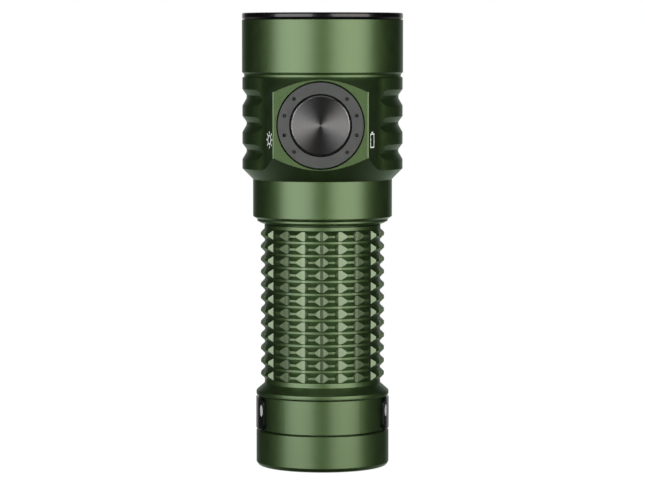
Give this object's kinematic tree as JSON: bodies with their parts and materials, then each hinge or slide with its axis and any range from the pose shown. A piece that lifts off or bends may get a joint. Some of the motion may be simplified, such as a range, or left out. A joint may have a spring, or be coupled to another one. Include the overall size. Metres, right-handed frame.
{
  "type": "tactical flashlight",
  "caption": "Compact tactical flashlight: finned head with a side switch, knurled grip tube, screw-on magnetic tail cap and a pocket clip.",
  "frame": {"origin": "centre of the tail face, which the light stands on", "axes": "+Z along the beam, from tail to bezel; -Y out of the side switch; +X to the right when facing the switch; +Y towards the clip's arm"},
  "size_m": [0.033, 0.0334, 0.093],
  "materials": {
    "anodised_green": "satin bead-blasted anodising",
    "anodised_black": "satin black anodising",
    "ring_grey": "satin grey anodising",
    "button_metal": "spun in circles, bright chamfer",
    "clip_black": "polished black coating on spring steel",
    "lens_glass": "clear coated glass",
    "reflector_mirror": "aluminised, smooth",
    "seal_rubber": "matt silicone",
    "copper_core": "bare copper with a white mask",
    "contact_brass": "gold-plated",
    "nickel": "nickel plate",
    "board_laminate": "solder mask",
    "black_plastic": "moulded",
    "white_plastic": "moulded",
    "clear_plastic": "clear, lightly frosted",
    "emitter": "phosphor under a silicone dome",
    "chip_black": "moulded package",
    "ferrite": "sintered, matt",
    "capacitor_tan": "fired ceramic",
    "wire_red": "silicone sleeve",
    "wire_black": "silicone sleeve",
    "flex_amber": "polyimide film",
    "cell_sleeve": "shrunk plastic sleeve"
  },
  "bodies": {
    "root": {"head_housing": "anodised_green", "body_tube": "anodised_green", "bezel_ring": "anodised_black", "indicator_ring": "ring_grey", "front_lens": "lens_glass", "reflector": "reflector_mirror", "lens_o_ring": "seal_rubber", "front_o_ring": "seal_rubber", "rear_o_ring": "seal_rubber", "button_seal": "seal_rubber", "led_board": "copper_core", "led_gasket": "white_plastic", "led_emitter": "emitter", "led_screw_left": "nickel", "led_screw_right": "nickel", "led_wire_red": "wire_red", "led_wire_black": "wire_black", "driver_board": "board_laminate", "driver_retaining_ring": "contact_brass", "driver_inductor": "ferrite", "driver_controller_chip": "chip_black", "driver_power_transistor": "chip_black", "driver_capacitor": "capacitor_tan", "head_contact_spring": "contact_brass", "light_guide": "clear_plastic", "tactile_switch": "nickel", "switch_board": "board_laminate", "switch_flex_cable": "flex_amber", "indicator_led_1": "emitter", "indicator_led_2": "emitter", "indicator_led_3": "emitter", "indicator_led_4": "emitter", "indicator_led_5": "emitter", "indicator_led_6": "emitter", "indicator_led_7": "emitter", "indicator_led_8": "emitter"},
    "button": {"button_cap": "button_metal", "switch_plunger": "white_plastic"},
    "battery": {"battery_cell": "cell_sleeve", "battery_insulator": "white_plastic", "battery_positive_cap": "nickel"},
    "tail_cap": {"tail_cap": "anodised_green", "charge_contact": "contact_brass", "contact_insulator": "black_plastic", "tail_magnet": "nickel", "magnet_holder": "black_plastic", "tail_board": "board_laminate", "tail_spring": "contact_brass"},
    "clip_collar": {"clip_collar": "clip_black"},
    "clip_arm": {"clip_arm": "clip_black"}
  },
  "joints": [
    {"name": "button_press", "type": "slide", "parent": "root", "child": "button", "axis": [0, 1, 0], "range_m": [0, 0.0005], "stiffness_N_per_m": 4000, "springref_m": -0.0001},
    {"name": "tail_cap_travel", "type": "slide", "parent": "root", "child": "battery", "axis": [0, 0, -1], "range_m": [0, 0.0045]},
    {"name": "tail_cap_turn", "type": "hinge", "parent": "battery", "child": "tail_cap", "pos_m": [0, 0, 0], "axis": [0, 0, -1], "range_deg": [0, 1800]},
    {"name": "clip_turn", "type": "hinge", "parent": "root", "child": "clip_collar", "pos_m": [0, 0, 0.0109], "axis": [0, 0, 1], "continuous": true},
    {"name": "clip_flex", "type": "hinge", "parent": "clip_collar", "child": "clip_arm", "pos_m": [0, 0.0135, 0.01415], "axis": [-1, 0, 0], "range_deg": [0, 5], "stiffness_Nm_per_rad": 3, "springref_deg": -1.72}
  ],
  "couplings": [
    {"joint": "tail_cap_turn", "follows": "tail_cap_travel", "rad_per_m": 6981.3}
  ]
}
